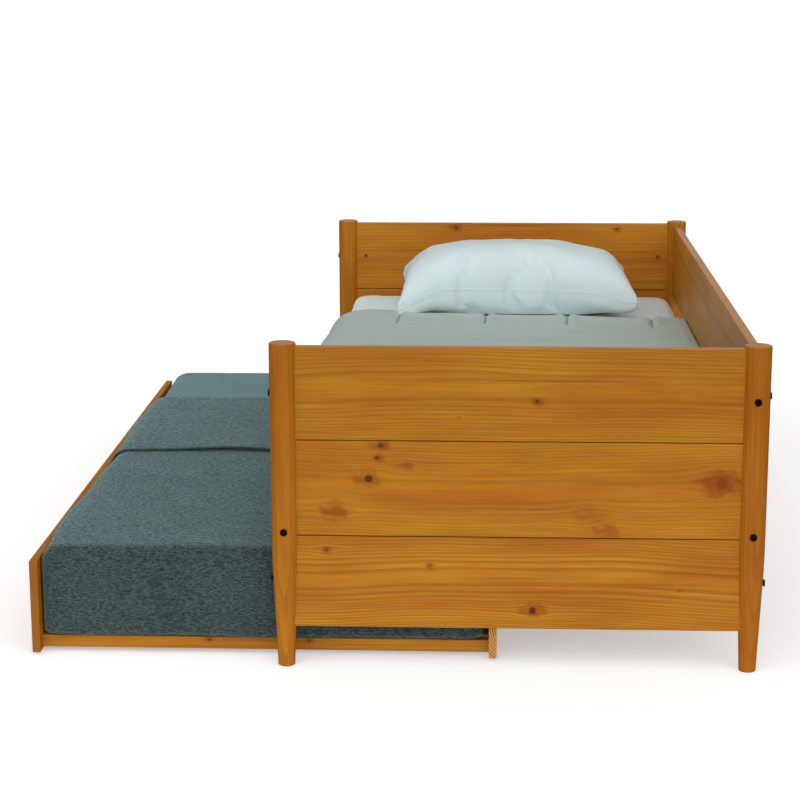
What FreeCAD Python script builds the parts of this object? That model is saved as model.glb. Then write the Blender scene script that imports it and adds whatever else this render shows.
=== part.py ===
import FreeCAD, Part
import math
import os

# Trundle bed: a single pine daybed with round posts, and a low second bed on rollers that
# slides out from under its long front side. Millimetres, +Z up.
# +Y runs along the bed from the plain end to the pillow end, +X from the front to the back board.
# The origin is on the floor, under the middle of the whole footprint with the trundle pulled out.

Vec = FreeCAD.Vector
UP = Vec(0, 0, 1)
ALONG_X = Vec(1, 0, 0)
ALONG_Y = Vec(0, 1, 0)

# Driving dimensions: bed frame
POST_SPAN_X = 1010.0      # post centre to post centre, across the bed
POST_SPAN_Y = 1990.0      # post centre to post centre, along the bed
POST_HEIGHT = 724.0
POST_R = 29.0
FOOT_R = 18.5             # radius at the floor
TAPER_TOP = 250.0         # the post is cylindrical above this height
TAPER_BLEND = 50.0        # the taper flows into the cylinder over this length each way
POST_EDGE = 3.0           # rounding of the post's two end rims

PANEL_THICK = 21.0
PANEL_EDGES_Z = (92.0, 299.0, 512.0, 717.0)   # seams between the three boards of an end panel
PANEL_SEAM = 2.0          # open shadow line at each seam
PANEL_LET_IN = 17.0       # the boards end this far from the post's axis
TONGUE_THICK = 6.0
TONGUE_HIGH = 8.0

RAIL_THICK = 20.0
RAIL_Z = (260.0, 360.0)
BACK_BOARD_Z = (495.0, 712.0)
RAIL_LET_IN = 22.0        # side rails and back board end this far from the post's axis
BOARD_EASE = 1.8          # rounding along the long edges of every board

BED_LEDGER_WIDE = 25.0
BED_LEDGER_Z = (282.0, 312.0)
BED_LEDGER_INSET = 85.0   # from the post's axis to the ledger's end
BED_SLATS = 11
SLAT_WIDE = 90.0
BED_SLAT_THICK = 18.0
SLAT_GAP_AT_END = 10.0

# Driving dimensions: trundle
PULL_OUT = 546.0          # how far the trundle stands out of the bed as modelled
TRUNDLE_WIDE = 1038.0
TRUNDLE_LONG = 1922.0
TRUNDLE_Z = (7.0, 220.0)
TRUNDLE_THICK = 18.0
END_RAIL_Z = (12.0, 40.0)
END_RAIL_THICK = 20.0
END_RAIL_SET_BACK = 26.0  # from the ends of the long boards
TRUNDLE_LEDGER_WIDE = 20.0
TRUNDLE_LEDGER_Z = (10.0, 30.0)
TRUNDLE_SLATS = 8
TRUNDLE_SLAT_THICK = 12.0

ROLLER_R = 19.0
ROLLER_WIDE = 18.0
ROLLER_OUT = 25.0         # from the ledger's face to the roller's axis
ROLLER_BORE_R = 2.56
AXLE_R = 2.5
BRACKET_STEEL = 2.5
BRACKET_WIDE = 64.0

# Driving dimensions: hardware
BOLT_R = 3.0
BOLT_LONG = 90.0
BOLT_HEAD_R = 7.9
BOLT_HEAD_THICK = 3.5
BOLT_PROUD = 2.3          # head above the round of the post
BOLT_KEY = 4.0            # hexagon socket, across flats
PANEL_BOLTS_Z = (200.0, 615.0)
RAIL_BOLT_Z = 310.0
BACK_BOLT_Z = 606.0
NUT_R = 5.0
NUT_LONG = 14.0
NUT_FROM_TIP = 7.0
DOWEL_R = 4.0
DOWEL_LONG = 40.0
RAIL_DOWELS_Z = (285.0, 335.0)
BACK_DOWELS_Z = (540.0, 672.0)
SCREW_R = 2.0
SCREW_HEAD_R = 4.0
BED_SCREW_LONG = 40.0
TRUNDLE_SCREW_LONG = 28.0
BORE_CLEAR = 0.1          # radial clearance of a pin, nut or screw in its hole
BOLT_HOLE_CLEAR = 0.5

# Driving dimensions: bedding, which lies on the slats
MATTRESS_WIDE = 965.0
MATTRESS_LONG = 1905.0
BED_MATTRESS_THICK = 165.0
TRUNDLE_MATTRESS_LONG = 1890.0
TRUNDLE_MATTRESS_THICK = 200.0
MATTRESS_ROUND = 22.0
SHEET_THICK = 1.5
QUILT_THICK = 20.0
QUILT_BACK_THICK = 7.0
QUILT_NEAR_THICK = 8.0
QUILT_HEM_Y = 605.0       # far hem, short of the pillow end
QUILT_SKIRT_Z = 372.0     # lower edge where it is tucked inside the frame
QUILT_DROP_THICK = 13.0   # where it hangs outside the front rail
QUILT_DROP_HEM_Z = 300.0
QUILT_RAIL_GAP = 3.0
QUILT_DROP_BULGE = (29.0, 51.0)    # out and down from the mattress's top edge, half way down
PILLOW_SIZE = (700.0, 380.0)
PILLOW_MIDDLE = (10.0, 705.0)      # from the bed's middle
PILLOW_TURN = -3.0        # degrees about +Z
PILLOW_TOP_Z = 706.0
PILLOW_ROUND = 88.0
BLANKET_THICK = 5.0
BLANKET_HEM_Z = 45.0
BLANKET_FOLD_Y = (-10.0, 640.0)    # the turned-back part lies between these
BLANKET_FOLD_THICK = 5.0

# Derived places
HALF_X = POST_SPAN_X / 2
HALF_Y = POST_SPAN_Y / 2
BED_X = (PULL_OUT - BOLT_PROUD) / 2
FRONT_X = BED_X - HALF_X
BACK_X = BED_X + HALF_X
TRUNDLE_FRONT_X = FRONT_X - POST_R - PULL_OUT
TRUNDLE_REAR_X = TRUNDLE_FRONT_X + TRUNDLE_WIDE
TRUNDLE_IN_X = (TRUNDLE_FRONT_X + TRUNDLE_THICK, TRUNDLE_REAR_X - TRUNDLE_THICK)
TRUNDLE_MID_X = sum(TRUNDLE_IN_X) / 2
END_RAIL_Y = TRUNDLE_LONG / 2 - END_RAIL_SET_BACK - END_RAIL_THICK
BED_SLAT_TOP = BED_LEDGER_Z[1] + BED_SLAT_THICK
BED_SHEET_TOP = BED_SLAT_TOP + BED_MATTRESS_THICK + SHEET_THICK
TRUNDLE_SLAT_TOP = TRUNDLE_LEDGER_Z[1] + TRUNDLE_SLAT_THICK
TRUNDLE_SHEET_TOP = TRUNDLE_SLAT_TOP + TRUNDLE_MATTRESS_THICK + SHEET_THICK
BOLT_SEAT = POST_R + BOLT_PROUD - BOLT_HEAD_THICK
NUT_DEPTH = BOLT_LONG - NUT_FROM_TIP
SIDES = {"front": -1, "back": 1}
ENDS = {"near": -1, "far": 1}


def box(x, y, z):
    """A block between a low and a high value on each axis."""
    return Part.makeBox(x[1] - x[0], y[1] - y[0], z[1] - z[0], Vec(x[0], y[0], z[0]))


def span(a, b):
    """Two numbers as (low, high)."""
    return (min(a, b), max(a, b))


def aim(shape, place, direction):
    """Turn a shape made along +Z to a direction, and put its origin at a place."""
    turned = shape.copy()
    turned.Placement = FreeCAD.Placement(place, FreeCAD.Rotation(UP, direction))
    return turned


def rod(place, direction, radius, length):
    return Part.makeCylinder(radius, length, place, direction)


def board(x, y, z, along):
    """A board with its long edges eased."""
    plain = box(x, y, z)
    edges = [e for e in plain.Edges if abs(e.tangentAt(e.FirstParameter).dot(along)) > 0.9]
    return plain.makeFillet(BOARD_EASE, edges)


def drilled(shape, bores):
    """Cut every bore that reaches the shape."""
    for bore in bores:
        if shape.BoundBox.intersect(bore.BoundBox):
            shape = shape.cut(bore)
    return shape


# Hardware, each made at the origin along +Z

def bolt():
    """Flat-head furniture bolt, seated at the origin with its shank along +Z."""
    rim = 0.8
    head = Part.makeCylinder(BOLT_HEAD_R, BOLT_HEAD_THICK, Vec(0, 0, -BOLT_HEAD_THICK))
    head = head.makeFillet(rim, [e for e in head.Edges if e.BoundBox.ZMax < rim - BOLT_HEAD_THICK])
    corner = BOLT_KEY / math.sqrt(3)
    ring = [Vec(corner * math.cos(math.radians(60 * k)), corner * math.sin(math.radians(60 * k)),
                -BOLT_HEAD_THICK) for k in range(7)]
    key = Part.Face(Part.makePolygon(ring)).extrude(Vec(0, 0, BOLT_HEAD_THICK * 0.7))
    return head.fuse(Part.makeCylinder(BOLT_R, BOLT_LONG)).cut(key).removeSplitter()


def bolt_bore():
    """Flat seat for the head in the round post, and the clearance hole for the shank."""
    seat_depth = 12.0
    seat = Part.makeCylinder(BOLT_HEAD_R + BOLT_HOLE_CLEAR, seat_depth, Vec(0, 0, -seat_depth))
    return seat.fuse(Part.makeCylinder(BOLT_R + BOLT_HOLE_CLEAR, BOLT_LONG + 2))


def screw(length):
    """Countersunk wood screw, its head flush with the origin and its shank along +Z."""
    head = Part.makeCone(SCREW_HEAD_R, SCREW_R, SCREW_HEAD_R - SCREW_R)
    tip = 4 * SCREW_R
    shank = Part.makeCylinder(SCREW_R, length - tip)
    point = Part.makeCone(SCREW_R, SCREW_R / 4, tip, Vec(0, 0, length - tip))
    slot_half = 0.6
    slot = box((-SCREW_R, SCREW_R), (-slot_half, slot_half), (-1, 1))
    return head.fuse([shank, point]).cut(slot).removeSplitter()


def screw_bore(length):
    above = 5.0
    wide = SCREW_HEAD_R + BORE_CLEAR
    sink = Part.makeCone(wide, SCREW_R + BORE_CLEAR, SCREW_HEAD_R - SCREW_R)
    mouth = Part.makeCylinder(wide, above, Vec(0, 0, -above))
    return sink.fuse([mouth, Part.makeCylinder(SCREW_R + BORE_CLEAR, length + 1)])


# Where the bed's hardware goes: each place is a seat or a centre, with a direction

def bolt_places():
    """(seat, direction, direction in which its nut is pushed in) for each frame bolt."""
    places = []
    for side in SIDES.values():
        for end in ENDS.values():
            x, y = BED_X + side * HALF_X, end * HALF_Y
            for z in PANEL_BOLTS_Z:
                places.append((Vec(x + side * BOLT_SEAT, y, z), ALONG_X * -side, ALONG_Y * end))
            heights = (RAIL_BOLT_Z, BACK_BOLT_Z) if side > 0 else (RAIL_BOLT_Z,)
            for z in heights:
                places.append((Vec(x, y + end * BOLT_SEAT, z), ALONG_Y * -end, ALONG_X * side))
    return places


def nut_centres():
    return [(seat + way * NUT_DEPTH, way, push) for seat, way, push in bolt_places()]


def nut_bores():
    """Blind cross holes from the inner face of a board, one for each barrel nut."""
    reach = PANEL_THICK
    deep = NUT_LONG / 2 + 1
    return [rod(centre - push * reach, push, NUT_R + BORE_CLEAR, reach + deep)
            for centre, way, push in nut_centres()]


def dowel_places():
    """(start, direction) of the dowels that keep the rails and back board from turning."""
    places = []
    for side in SIDES.values():
        for end in ENDS.values():
            heights = RAIL_DOWELS_Z + (BACK_DOWELS_Z if side > 0 else ())
            for z in heights:
                start = HALF_Y - RAIL_LET_IN + DOWEL_LONG / 2
                places.append((Vec(BED_X + side * HALF_X, end * start, z), ALONG_Y * -end))
    return places


def spread(count, reach):
    """Even places from -reach to +reach."""
    return [-reach + 2 * reach * i / (count - 1) for i in range(count)]


def bed_slat_ys():
    return spread(BED_SLATS, HALF_Y - BED_LEDGER_INSET - SLAT_GAP_AT_END - SLAT_WIDE / 2)


def trundle_slat_ys():
    return spread(TRUNDLE_SLATS, END_RAIL_Y - SLAT_GAP_AT_END - SLAT_WIDE / 2)


def gaps(ys):
    """The middle of each second gap between slats."""
    return [(a + b) / 2 for a, b in zip(ys, ys[1:])][::2]


def bed_screw_places():
    places = []
    for side in SIDES.values():
        ledger_x = BED_X + side * (HALF_X - RAIL_THICK / 2 - BED_LEDGER_WIDE / 2)
        face_x = BED_X + side * (HALF_X - RAIL_THICK / 2 - BED_LEDGER_WIDE)
        for y in bed_slat_ys():
            places.append((Vec(ledger_x, y, BED_SLAT_TOP), UP * -1))
        for y in gaps(bed_slat_ys()):
            places.append((Vec(face_x, y, sum(BED_LEDGER_Z) / 2), ALONG_X * side))
    return places


def roller_places():
    """(name, x, y, which way the ledger is) for each roller, in a gap between slats."""
    ys = trundle_slat_ys()
    out = (ys[0] + ys[1]) / 2
    reach = TRUNDLE_LEDGER_WIDE + ROLLER_OUT
    xs = {"front": (TRUNDLE_IN_X[0] + reach, -1), "rear": (TRUNDLE_IN_X[1] - reach, 1)}
    return [(f"{row}_{end}", x, -out * sign, way)
            for row, (x, way) in xs.items() for end, sign in ENDS.items()]


def trundle_screw_places():
    places = []
    height = sum(TRUNDLE_LEDGER_Z) / 2
    for inner, way in ((TRUNDLE_IN_X[0], -1), (TRUNDLE_IN_X[1], 1)):
        face = inner - way * TRUNDLE_LEDGER_WIDE
        for y in trundle_slat_ys():
            places.append((Vec((inner + face) / 2, y, TRUNDLE_SLAT_TOP), UP * -1))
        for y in gaps(trundle_slat_ys()[1:-1]):
            places.append((Vec(face, y, height), ALONG_X * way))
    for name, x, y, way in roller_places():
        for side in (-1, 1):
            face = x + way * (ROLLER_OUT - BRACKET_STEEL)
            places.append((Vec(face, y + side * BRACKET_WIDE * 0.36, height), ALONG_X * way))
    return places


def trundle_dowel_places():
    """Two dowels at each end of each trundle end rail, into the long boards."""
    places = []
    for inner, way in ((TRUNDLE_IN_X[0], 1), (TRUNDLE_IN_X[1], -1)):
        for end in ENDS.values():
            y = end * (END_RAIL_Y + END_RAIL_THICK / 2)
            for z in (END_RAIL_Z[0] + 8, END_RAIL_Z[1] - 8):
                places.append((Vec(inner - way * TRUNDLE_THICK * 0.6, y, z), ALONG_X * way))
    return places


# Bed frame

def post_blank():
    """Turned post: tapered foot, long cylinder, rounded rims."""
    slope = (POST_R - FOOT_R) / TAPER_TOP
    low = TAPER_TOP - TAPER_BLEND
    pull_in = TAPER_BLEND * math.tan(math.atan(slope) / 4)
    half = POST_EDGE * (1 - math.sqrt(0.5))
    foot = FOOT_R + slope * POST_EDGE
    below = Vec(FOOT_R + slope * low, 0, low)
    above = Vec(POST_R, 0, TAPER_TOP + TAPER_BLEND)
    rim = Vec(POST_R, 0, POST_HEIGHT - POST_EDGE)
    flat = Vec(POST_R - POST_EDGE, 0, POST_HEIGHT)
    sole = Vec(foot - POST_EDGE, 0, 0)
    heel = Vec(foot, 0, POST_EDGE)
    edges = [
        Part.LineSegment(Vec(0, 0, 0), sole),
        Part.Arc(sole, Vec(foot - half, 0, half), heel),
        Part.LineSegment(heel, below),
        Part.Arc(below, Vec(POST_R - pull_in, 0, TAPER_TOP), above),
        Part.LineSegment(above, rim),
        Part.Arc(rim, Vec(POST_R - half, 0, POST_HEIGHT - half), flat),
        Part.LineSegment(flat, Vec(0, 0, POST_HEIGHT)),
        Part.LineSegment(Vec(0, 0, POST_HEIGHT), Vec(0, 0, 0)),
    ]
    outline = Part.Wire([edge.toShape() for edge in edges])
    return Part.Face(outline).revolve(Vec(0, 0, 0), UP, 360)


def post(side, end, bores):
    """One post, with a stopped groove for the end panel and recesses for rail and back board."""
    x, y = BED_X + side * HALF_X, end * HALF_Y
    turned = post_blank()
    turned.translate(Vec(x, y, 0))
    slack = BORE_CLEAR
    half = PANEL_THICK / 2 + slack
    groove = box(span(x - side * PANEL_LET_IN, x - side * 2 * POST_R), (y - half, y + half),
                 (PANEL_EDGES_Z[0], PANEL_EDGES_Z[-1]))
    half = RAIL_THICK / 2 + slack
    inward = span(y - end * RAIL_LET_IN, y - end * 2 * POST_R)
    recesses = [box((x - half, x + half), inward, RAIL_Z)]
    if side > 0:
        recesses.append(box((x - half, x + half), inward, BACK_BOARD_Z))
    return drilled(turned.cut(groove.fuse(recesses)), bores)


def panel_board(end, index, bores):
    """One board of an end panel: tongue on its top edge, groove in its bottom edge."""
    y = end * HALF_Y
    last = len(PANEL_EDGES_Z) - 2
    low = PANEL_EDGES_Z[index] + (PANEL_SEAM / 2 if index > 0 else 0)
    high = PANEL_EDGES_Z[index + 1] - (PANEL_SEAM / 2 if index < last else 0)
    x = (FRONT_X + PANEL_LET_IN, BACK_X - PANEL_LET_IN)
    half = PANEL_THICK / 2
    plank = board(x, (y - half, y + half), (low, high), ALONG_X)
    tongue = TONGUE_THICK / 2
    if index < last:
        plank = plank.fuse(box(x, (y - tongue, y + tongue), (high - 1, high + TONGUE_HIGH)))
    if index > 0:
        wide = tongue + 2 * BORE_CLEAR
        plank = plank.cut(box((x[0] - 1, x[1] + 1), (y - wide, y + wide), (low - 1, low + TONGUE_HIGH)))
    return drilled(plank.removeSplitter(), bores)


def long_board(side, z, bores):
    """A board between a near and a far post: a side rail or the back board."""
    x = BED_X + side * HALF_X
    half = RAIL_THICK / 2
    reach = HALF_Y - RAIL_LET_IN
    return drilled(board((x - half, x + half), (-reach, reach), z, ALONG_Y), bores)


def bed_ledger(side, bores):
    face = BED_X + side * (HALF_X - RAIL_THICK / 2)
    reach = HALF_Y - BED_LEDGER_INSET
    strip = board(span(face, face - side * BED_LEDGER_WIDE), (-reach, reach), BED_LEDGER_Z, ALONG_Y)
    return drilled(strip, bores)


def slat(x, y, z, bores):
    half = SLAT_WIDE / 2
    return drilled(board(x, (y - half, y + half), z, ALONG_X), bores)


def bed_slat(y, bores):
    reach = HALF_X - RAIL_THICK / 2 - 3
    return slat((BED_X - reach, BED_X + reach), y, (BED_LEDGER_Z[1], BED_SLAT_TOP), bores)


def barrel_nut():
    """Barrel nut along +Z, with its cross hole for the bolt along X."""
    half = NUT_LONG / 2
    body = Part.makeCylinder(NUT_R, NUT_LONG, Vec(0, 0, -half))
    return body.cut(rod(Vec(-2 * NUT_R, 0, 0), ALONG_X, BOLT_R + BORE_CLEAR, 4 * NUT_R))


def placed_nut(centre, way, push):
    """A barrel nut with its length along push and its cross hole along way."""
    nut = barrel_nut()
    nut.Placement = FreeCAD.Placement(centre, FreeCAD.Rotation(way, Vec(), push, "ZXY"))
    return nut


def dowel(length):
    pin = Part.makeCylinder(DOWEL_R, length)
    return pin.makeChamfer(0.8, [e for e in pin.Edges if e.BoundBox.ZLength < 0.1])


# Trundle

def trundle_board(outer, way, bores):
    """A long board of the trundle; way points from its outer face into the trundle."""
    half = TRUNDLE_LONG / 2
    x = span(outer, outer + way * TRUNDLE_THICK)
    return drilled(board(x, (-half, half), TRUNDLE_Z, ALONG_Y), bores)


def trundle_end_rail(end, bores):
    y = span(end * END_RAIL_Y, end * (END_RAIL_Y + END_RAIL_THICK))
    return drilled(board(TRUNDLE_IN_X, y, END_RAIL_Z, ALONG_X), bores)


def trundle_ledger(inner, way, bores):
    x = span(inner, inner + way * TRUNDLE_LEDGER_WIDE)
    return drilled(board(x, (-END_RAIL_Y, END_RAIL_Y), TRUNDLE_LEDGER_Z, ALONG_Y), bores)


def trundle_slat(y, bores):
    x = (TRUNDLE_IN_X[0] + 2, TRUNDLE_IN_X[1] - 2)
    return slat(x, y, (TRUNDLE_LEDGER_Z[1], TRUNDLE_SLAT_TOP), bores)


def bracket(x, y, way, bores):
    """Bent steel bracket: a plate on the ledger and two ears that hold the axle."""
    plate_x = x + way * ROLLER_OUT
    low, high = TRUNDLE_LEDGER_Z[0] + 0.5, TRUNDLE_LEDGER_Z[1] - 1
    half = BRACKET_WIDE / 2
    shape = box(span(plate_x, plate_x - way * BRACKET_STEEL), (y - half, y + half), (low, high))
    inside = ROLLER_WIDE / 2 + 1
    for side in (-1, 1):
        ear_y = span(y + side * inside, y + side * (inside + BRACKET_STEEL))
        ear = box(span(plate_x, x), ear_y, (low, high))
        nose = rod(Vec(x, ear_y[0], ROLLER_R), ALONG_Y, high - ROLLER_R, BRACKET_STEEL)
        shape = shape.fuse([ear, nose])
    hole = rod(Vec(x, y - half, ROLLER_R), ALONG_Y, AXLE_R + BORE_CLEAR, 2 * half)
    return drilled(shape.cut(hole).removeSplitter(), bores)


def axle(x, y):
    """Riveted pin through both ears of a bracket."""
    reach = ROLLER_WIDE / 2 + 1 + BRACKET_STEEL
    head = 1.6
    pin = rod(Vec(x, y - reach, ROLLER_R), ALONG_Y, AXLE_R, 2 * reach)
    ends = [rod(Vec(x, y - reach - head, ROLLER_R), ALONG_Y, AXLE_R + 1.5, head),
            rod(Vec(x, y + reach, ROLLER_R), ALONG_Y, AXLE_R + 1.5, head)]
    return pin.fuse(ends)


def roller(x, y):
    """Moulded roller with a rounded tread and a dished face each side."""
    half = ROLLER_WIDE / 2
    shape = rod(Vec(x, y - half, ROLLER_R), ALONG_Y, ROLLER_R, ROLLER_WIDE)
    rims = [e for e in shape.Edges if e.BoundBox.YLength < 0.1]
    shape = shape.makeFillet(2.5, rims)
    dish, hub, deep = ROLLER_R - 4, 5.5, 3.0
    for face in (y - half, y + half - deep):
        ring = rod(Vec(x, face, ROLLER_R), ALONG_Y, dish, deep)
        shape = shape.cut(ring.cut(rod(Vec(x, face, ROLLER_R), ALONG_Y, hub, deep)))
    return shape.cut(rod(Vec(x, y - half - 1, ROLLER_R), ALONG_Y, ROLLER_BORE_R, ROLLER_WIDE + 2))


# Bedding

def pad(x, y, z, radius):
    """A block rounded on every edge."""
    block = box(x, y, z)
    return block.makeFillet(radius, block.Edges)


def mattress(mid_x, length, z, grow=0.0):
    """A mattress, or the same shape grown outward for what lies over it."""
    half_x = MATTRESS_WIDE / 2 + grow
    half_y = length / 2 + grow
    return pad((mid_x - half_x, mid_x + half_x), (-half_y, half_y), (z[0] - grow, z[1] + grow),
               MATTRESS_ROUND + grow)


def below(height):
    """Everything under a height, to trim a cover's lower edge."""
    wide = 3000.0
    return box((-wide, wide), (-wide, wide), (-100.0, height))


def fitted_sheet(mid_x, length, z):
    """A thin cover over the top and sides of a mattress."""
    skin = mattress(mid_x, length, z, SHEET_THICK).cut(mattress(mid_x, length, z))
    return skin.cut(below(z[0] + 2 * MATTRESS_ROUND))


def quilt_drop(side_x, top):
    """The quilt's front drop: out over the rail's top edge and down its outer face."""
    inner = FRONT_X - RAIL_THICK / 2 - QUILT_RAIL_GAP
    outer = inner - QUILT_DROP_THICK
    shelf = RAIL_Z[1] + QUILT_RAIL_GAP
    out, down = QUILT_DROP_BULGE
    hem, turn, edge = (Vec(outer, 0, QUILT_DROP_HEM_Z), Vec(outer, 0, QUILT_SKIRT_Z), Vec(side_x, 0, top))
    corners = [edge, Vec(side_x, 0, shelf), Vec(inner, 0, shelf), Vec(inner, 0, QUILT_DROP_HEM_Z), hem, turn]
    edges = [Part.LineSegment(a, b).toShape() for a, b in zip(corners, corners[1:])]
    edges.append(Part.Arc(turn, Vec(side_x - out, 0, top - down), edge).toShape())
    near = -MATTRESS_LONG / 2
    drop = Part.Face(Part.Wire(edges)).extrude(Vec(0, QUILT_HEM_Y - near, 0))
    drop.translate(Vec(0, near, 0))
    return drop


def quilt():
    """Quilt over the bed's mattress, short of the pillow end: it hangs outside the front rail and
    is tucked inside the frame at the back and the near end."""
    z = (BED_SLAT_TOP, BED_SLAT_TOP + BED_MATTRESS_THICK)
    inner = mattress(BED_X, MATTRESS_LONG, z, SHEET_THICK)
    half = MATTRESS_WIDE / 2 + SHEET_THICK
    near = -MATTRESS_LONG / 2 - SHEET_THICK - QUILT_NEAR_THICK
    top = BED_SHEET_TOP + QUILT_THICK
    cover = pad((BED_X - half - QUILT_BACK_THICK, BED_X + half + QUILT_BACK_THICK),
                (near, QUILT_HEM_Y), (z[0], top), MATTRESS_ROUND / 2).cut(below(QUILT_SKIRT_Z))
    return cover.fuse(quilt_drop(BED_X - half, top)).cut(inner).removeSplitter()


def pillow(cover, under):
    """Plump pillow turned a little on the bed, resting on the sheet and the quilt's hem."""
    wide, deep = PILLOW_SIZE
    z = (BED_SHEET_TOP, PILLOW_TOP_Z)
    shape = pad((-wide / 2, wide / 2), (-deep / 2, deep / 2), z, PILLOW_ROUND)
    shape.rotate(Vec(), UP, PILLOW_TURN)
    shape.translate(Vec(BED_X + PILLOW_MIDDLE[0], PILLOW_MIDDLE[1], 0))
    return shape.cut(cover).cut(under)


def blanket():
    """Knitted blanket over the trundle mattress, turned back on itself at the pillow end."""
    z = (TRUNDLE_SLAT_TOP, TRUNDLE_SLAT_TOP + TRUNDLE_MATTRESS_THICK)
    inner = mattress(TRUNDLE_MID_X, TRUNDLE_MATTRESS_LONG, z, SHEET_THICK)
    outer = mattress(TRUNDLE_MID_X, TRUNDLE_MATTRESS_LONG, z, SHEET_THICK + BLANKET_THICK)
    uncovered = box((-3000, 3000), (BLANKET_FOLD_Y[1], 3000), (-100, 3000))
    reach = MATTRESS_WIDE / 2 - MATTRESS_ROUND
    top = TRUNDLE_SHEET_TOP + BLANKET_THICK
    turned_back = box((TRUNDLE_MID_X - reach, TRUNDLE_MID_X + reach), BLANKET_FOLD_Y,
                      (top - 1, top + BLANKET_FOLD_THICK))
    draped = outer.cut(uncovered).fuse(turned_back)
    return draped.cut(inner).cut(below(BLANKET_HEM_Z)).removeSplitter()


def bed_parts():
    bolts = bolt_places()
    dowels = dowel_places()
    screws = bed_screw_places()
    bores = [aim(bolt_bore(), seat, way) for seat, way, push in bolts]
    bores += nut_bores()
    bores += [rod(p - w * 0.5, w, DOWEL_R + BORE_CLEAR, DOWEL_LONG + 1) for p, w in dowels]
    bores += [aim(screw_bore(BED_SCREW_LONG), p, w) for p, w in screws]
    parts = {}
    for side_name, side in SIDES.items():
        for end_name, end in ENDS.items():
            parts[f"{side_name}_{end_name}_post"] = post(side, end, bores)
        parts[f"{side_name}_side_rail"] = long_board(side, RAIL_Z, bores)
        parts[f"{side_name}_slat_ledger"] = bed_ledger(side, bores)
    parts["back_board"] = long_board(1, BACK_BOARD_Z, bores)
    for end_name, end in ENDS.items():
        for index, level in enumerate(("lower", "middle", "upper")):
            parts[f"{end_name}_panel_{level}_board"] = panel_board(end, index, bores)
    for number, y in enumerate(bed_slat_ys(), 1):
        parts[f"bed_slat_{number:02d}"] = bed_slat(y, bores)
    parts["frame_bolts"] = Part.makeCompound([aim(bolt(), seat, way) for seat, way, push in bolts])
    parts["barrel_nuts"] = Part.makeCompound([placed_nut(*place) for place in nut_centres()])
    parts["rail_dowels"] = Part.makeCompound([aim(dowel(DOWEL_LONG), p, w) for p, w in dowels])
    parts["bed_screws"] = Part.makeCompound([aim(screw(BED_SCREW_LONG), p, w) for p, w in screws])
    return parts


def trundle_parts():
    rollers = roller_places()
    screws = trundle_screw_places()
    dowels = trundle_dowel_places()
    dowel_long = DOWEL_LONG * 0.75
    bores = [aim(screw_bore(TRUNDLE_SCREW_LONG), p, w) for p, w in screws]
    bores += [rod(p - w * 0.5, w, DOWEL_R + BORE_CLEAR, dowel_long + 1) for p, w in dowels]
    inner_front, inner_rear = TRUNDLE_IN_X
    parts = {
        "trundle_front_board": trundle_board(TRUNDLE_FRONT_X, 1, bores),
        "trundle_rear_board": trundle_board(TRUNDLE_REAR_X, -1, bores),
        "trundle_near_end_rail": trundle_end_rail(-1, bores),
        "trundle_far_end_rail": trundle_end_rail(1, bores),
        "trundle_front_ledger": trundle_ledger(inner_front, 1, bores),
        "trundle_rear_ledger": trundle_ledger(inner_rear, -1, bores),
    }
    for number, y in enumerate(trundle_slat_ys(), 1):
        parts[f"trundle_slat_{number:02d}"] = trundle_slat(y, bores)
    brackets = [bracket(x, y, way, bores) for name, x, y, way in rollers]
    parts["roller_brackets"] = Part.makeCompound(brackets)
    parts["roller_axles"] = Part.makeCompound([axle(x, y) for name, x, y, way in rollers])
    for name, x, y, way in rollers:
        parts[f"{name}_roller"] = roller(x, y)
    parts["trundle_screws"] = Part.makeCompound([aim(screw(TRUNDLE_SCREW_LONG), p, w)
                                                 for p, w in screws])
    parts["trundle_dowels"] = Part.makeCompound([aim(dowel(dowel_long), p, w) for p, w in dowels])
    return parts


def bedding_parts():
    bed_z = (BED_SLAT_TOP, BED_SLAT_TOP + BED_MATTRESS_THICK)
    low_z = (TRUNDLE_SLAT_TOP, TRUNDLE_SLAT_TOP + TRUNDLE_MATTRESS_THICK)
    sheet = fitted_sheet(BED_X, MATTRESS_LONG, bed_z)
    cover = quilt()
    return {
        "bed_mattress": mattress(BED_X, MATTRESS_LONG, bed_z),
        "bed_sheet": sheet,
        "bed_quilt": cover,
        "pillow": pillow(cover, sheet),
        "trundle_mattress": mattress(TRUNDLE_MID_X, TRUNDLE_MATTRESS_LONG, low_z),
        "trundle_sheet": fitted_sheet(TRUNDLE_MID_X, TRUNDLE_MATTRESS_LONG, low_z),
        "trundle_blanket": blanket(),
    }


os.makedirs("parts", exist_ok=True)
for node, shape in {**bed_parts(), **trundle_parts(), **bedding_parts()}.items():
    if not shape.isValid():
        print("not valid:", node)
    shape.exportStep(f"parts/{node}.step")
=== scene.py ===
import math
import random

import bmesh
import bpy
import numpy as np
from mathutils import Matrix, Vector, noise


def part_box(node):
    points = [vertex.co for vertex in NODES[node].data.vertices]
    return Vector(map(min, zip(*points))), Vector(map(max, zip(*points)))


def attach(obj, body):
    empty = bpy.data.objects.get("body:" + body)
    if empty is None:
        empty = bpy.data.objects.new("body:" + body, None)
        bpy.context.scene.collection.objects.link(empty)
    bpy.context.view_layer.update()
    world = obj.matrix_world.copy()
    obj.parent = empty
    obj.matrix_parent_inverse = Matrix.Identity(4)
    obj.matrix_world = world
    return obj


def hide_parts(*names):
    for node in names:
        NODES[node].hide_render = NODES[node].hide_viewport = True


# Looks of the trundle bed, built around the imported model. Metres, in the model's own frame:
# +X from the trundle side to the back board, +Y from the plain end to the pillow end, +Z up.

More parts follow.
